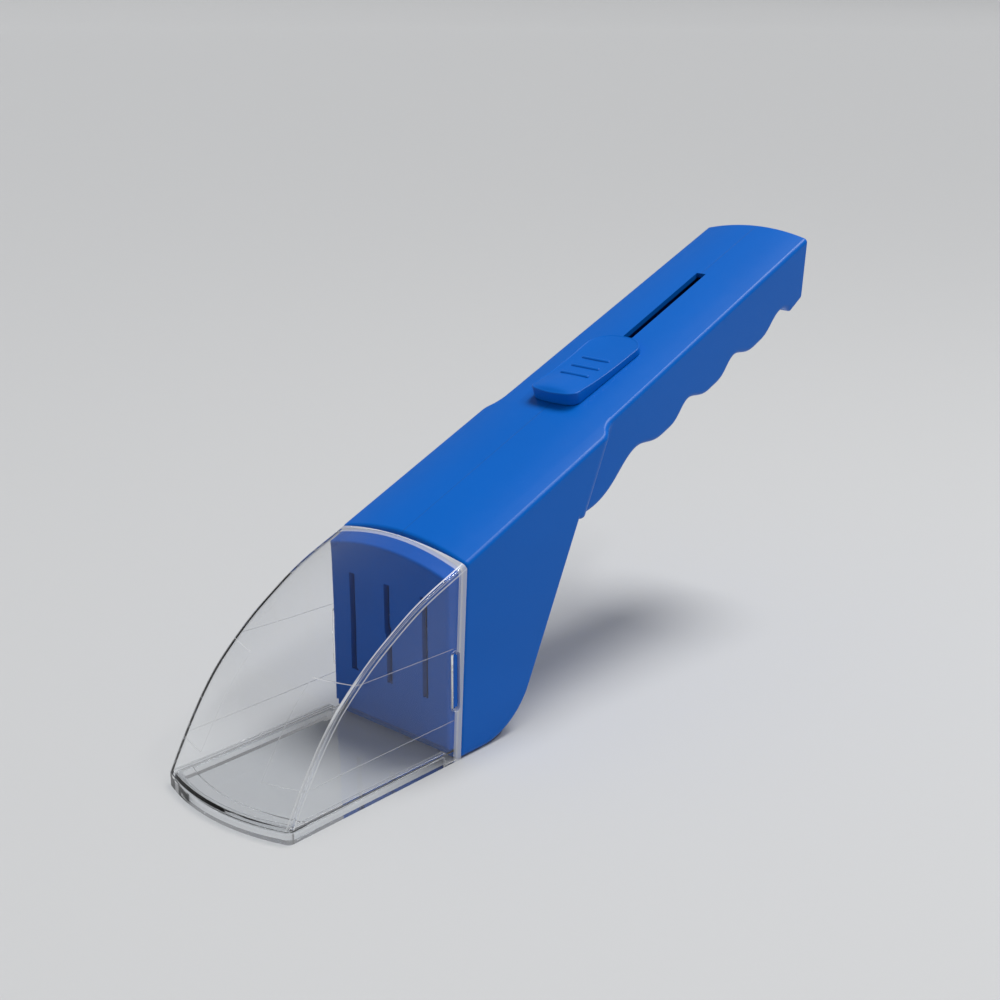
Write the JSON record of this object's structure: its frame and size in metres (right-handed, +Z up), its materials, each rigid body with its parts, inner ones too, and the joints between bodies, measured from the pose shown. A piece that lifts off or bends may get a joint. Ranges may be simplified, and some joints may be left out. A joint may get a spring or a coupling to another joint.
{
  "type": "hand-held insect catcher",
  "caption": "Hollow handle and head with a clear trap hood in front, and a flexible clear shutter under the hood pulled back by a thumb slide.",
  "frame": {"origin": "middle of the foot of the joint between hood and head, on the plane the catcher rests on", "axes": "+X forward to the lip of the hood, +Y to the left, +Z up"},
  "size_m": [0.3009, 0.06, 0.1567],
  "materials": {
    "blue_shell": "satin moulded",
    "blue_plug": "satin moulded",
    "blue_button": "satin moulded",
    "clear_plastic": "clear polished",
    "clear_sheet": "clear flexible sheet",
    "guide_plastic": "plain moulded",
    "steel": "zinc plated"
  },
  "bodies": {
    "root": {"shell_left": "blue_shell", "shell_right": "blue_shell", "vent_bulkhead": "blue_plug", "clear_hood": "clear_plastic", "shutter_rail": "clear_plastic", "heel_guide": "guide_plastic", "neck_guide": "guide_plastic", "shutter_bend": "clear_sheet", "slide_track": "guide_plastic", "shell_screws": "steel"},
    "slide": {"thumb_button": "blue_button", "slide_carriage": "guide_plastic", "shutter_clamp": "guide_plastic", "shutter_tail": "clear_sheet", "clamp_rivets": "steel", "button_screw": "steel"},
    "shutter": {"shutter_panel": "clear_sheet", "shutter_lead_edge": "clear_sheet"}
  },
  "joints": [
    {"name": "thumb_slide", "type": "slide", "parent": "root", "child": "slide", "axis": [-0.9338, 0, 0.3577], "range_m": [0, 0.0768]},
    {"name": "shutter_slide", "type": "slide", "parent": "root", "child": "shutter", "axis": [-1, 0, 0], "range_m": [0, 0.0768], "deforming": ["shutter_panel"]}
  ],
  "couplings": [
    {"joint": "shutter_slide", "follows": "thumb_slide", "ratio": 1}
  ]
}
